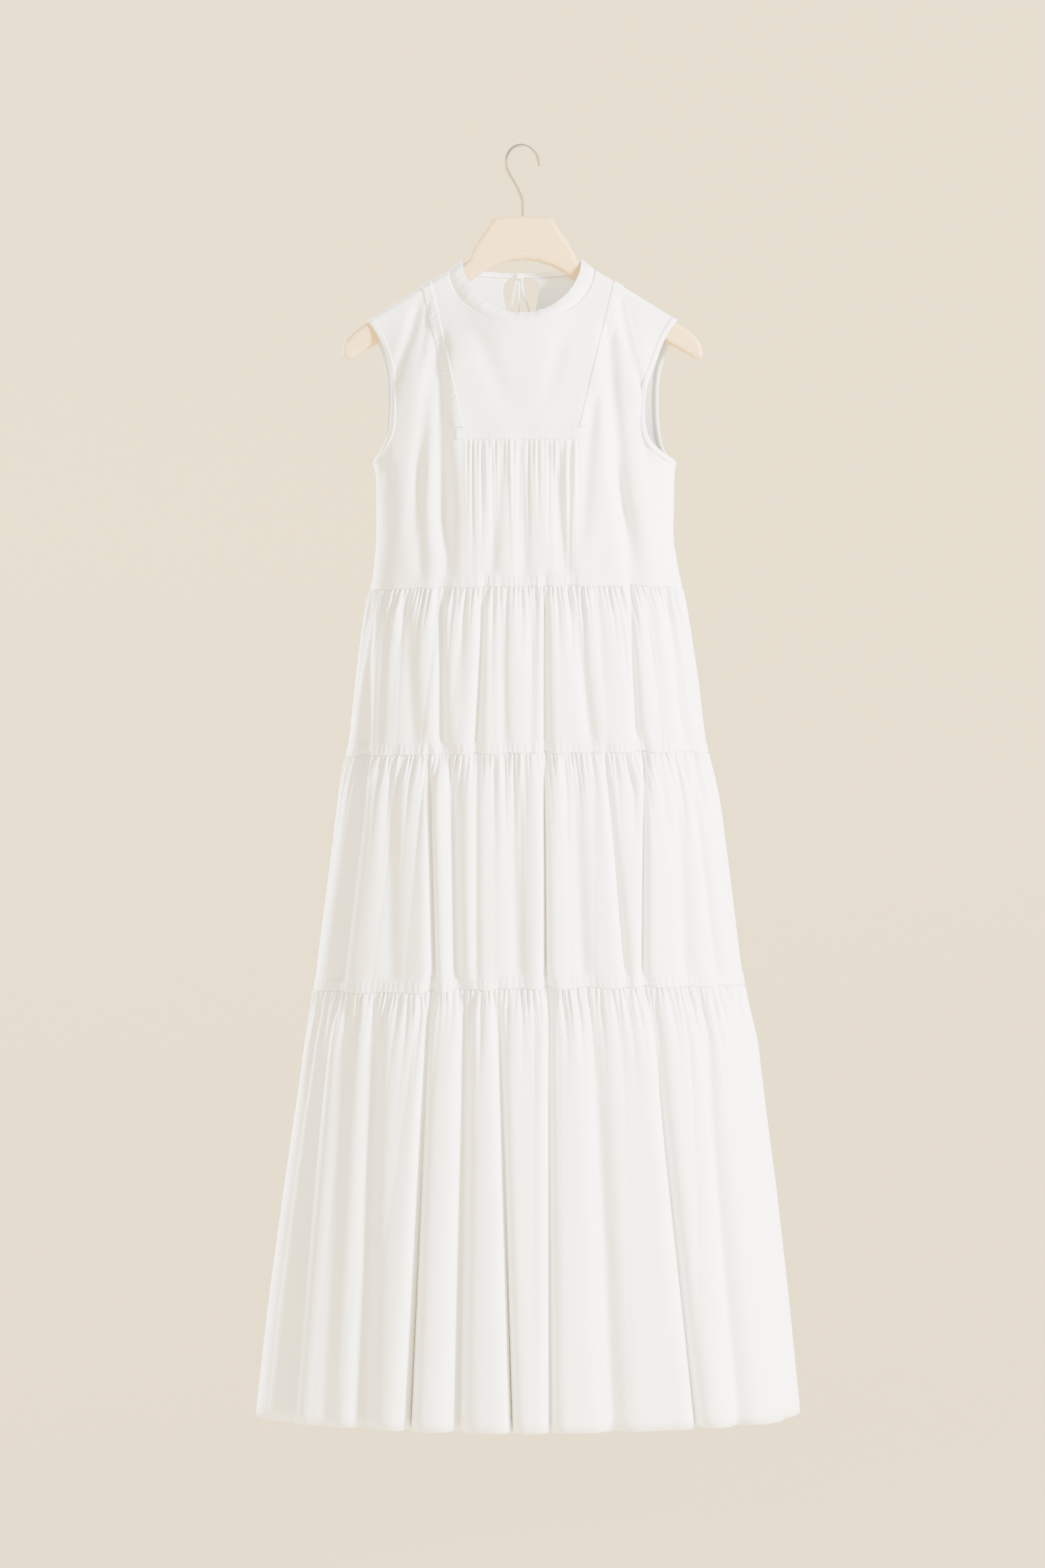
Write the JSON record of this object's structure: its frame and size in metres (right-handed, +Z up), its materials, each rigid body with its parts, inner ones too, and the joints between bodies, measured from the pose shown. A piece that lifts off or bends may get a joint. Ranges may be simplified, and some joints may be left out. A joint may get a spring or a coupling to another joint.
{
  "type": "tiered maxi dress on a flat hanger",
  "caption": "Sleeveless maxi dress of gathered tiers with a stitched front bib, a stand neckband and back neck ties, worn by a flat hanger with a wire hook.",
  "frame": {"origin": "inside top of the hook's loop, where the hook rests on its rail", "axes": "+Z up; the dress's front faces -Y; +X is to the right in a front view"},
  "size_m": [0.6117, 0.2607, 1.4302],
  "materials": {
    "cotton": "plain white cotton poplin, matte",
    "moulded_board": "moulded beige with fine pale and dark flecks",
    "steel_wire": "bright round wire"
  },
  "bodies": {
    "root": {"armhole_binding_left": "cotton", "armhole_binding_right": "cotton", "back_bodice": "cotton", "bib_bottom_band": "cotton", "bib_side_band_left": "cotton", "bib_side_band_right": "cotton", "bottom_tier_back": "cotton", "bottom_tier_front": "cotton", "front_bib": "cotton", "front_bodice": "cotton", "neckband_back_left": "cotton", "neckband_back_right": "cotton", "neckband_front": "cotton", "neck_tie_knot": "cotton", "neck_tie_left": "cotton", "neck_tie_loop": "cotton", "neck_tie_right": "cotton", "second_tier_back": "cotton", "second_tier_front": "cotton", "third_tier_back": "cotton", "third_tier_front": "cotton", "hanger": "moulded_board", "hanger_hook": "steel_wire"}
  },
  "joints": []
}
